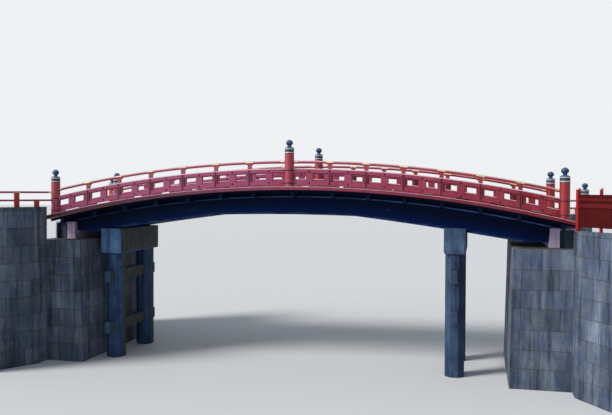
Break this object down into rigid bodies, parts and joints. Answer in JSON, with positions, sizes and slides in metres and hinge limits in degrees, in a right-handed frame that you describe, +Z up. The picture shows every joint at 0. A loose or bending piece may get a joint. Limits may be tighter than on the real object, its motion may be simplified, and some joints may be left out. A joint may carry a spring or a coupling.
{
  "type": "arched timber footbridge",
  "caption": "Lacquered moon bridge: arched deck on joined cantilever girders and stone piers, boarded balustrades with onion finials.",
  "frame": {"origin": "mid-span on the bridge's middle line, at the level of the pier and abutment feet", "axes": "+X along the bridge to the bank with the shorter pier span, +Y across the bridge away from the viewer, +Z up"},
  "size_m": [32.1706, 15.42, 11.9555],
  "materials": {
    "vermilion": "vermilion lacquer, weathered semi-gloss",
    "black_lacquer": "black lacquer, semi-gloss",
    "deck_boards": "weathered planks",
    "gilt": "gilt, satin",
    "bronze": "dark patinated cast metal",
    "iron": "black lacquered iron",
    "granite": "dressed, weathered",
    "pink_granite": "dressed",
    "masonry": "coursed blocks, weathered"
  },
  "bodies": {
    "root": {"deck": "deck_boards", "near_edge_boards": "vermilion", "far_edge_boards": "vermilion", "joists": "black_lacquer", "cross_beams": "black_lacquer", "closing_boards": "black_lacquer", "middle_girders": "black_lacquer", "left_girders": "black_lacquer", "right_girders": "black_lacquer", "near_base_rails": "vermilion", "far_base_rails": "vermilion", "near_panels": "vermilion", "far_panels": "vermilion", "near_mid_rails": "vermilion", "far_mid_rails": "vermilion", "near_struts": "vermilion", "far_struts": "vermilion", "near_top_rails": "vermilion", "far_top_rails": "vermilion", "near_sleeves": "gilt", "far_sleeves": "gilt", "near_ironwork": "iron", "far_ironwork": "iron", "near_posts": "vermilion", "far_posts": "vermilion", "near_finials": "bronze", "far_finials": "bronze", "wing_finials": "bronze", "finial_rings": "gilt", "left_pier_cap": "granite", "right_pier_cap": "granite", "left_pier_columns": "granite", "right_pier_columns": "granite", "pier_ties": "granite", "left_abutment": "masonry", "right_abutment": "masonry", "left_bearing_block": "pink_granite", "right_bearing_block": "pink_granite", "left_wing_walls": "masonry", "right_wing_walls": "masonry", "wing_rails": "vermilion", "wing_struts": "vermilion", "wing_posts": "vermilion", "fence_posts": "vermilion", "fence_boards": "vermilion"}
  },
  "joints": []
}
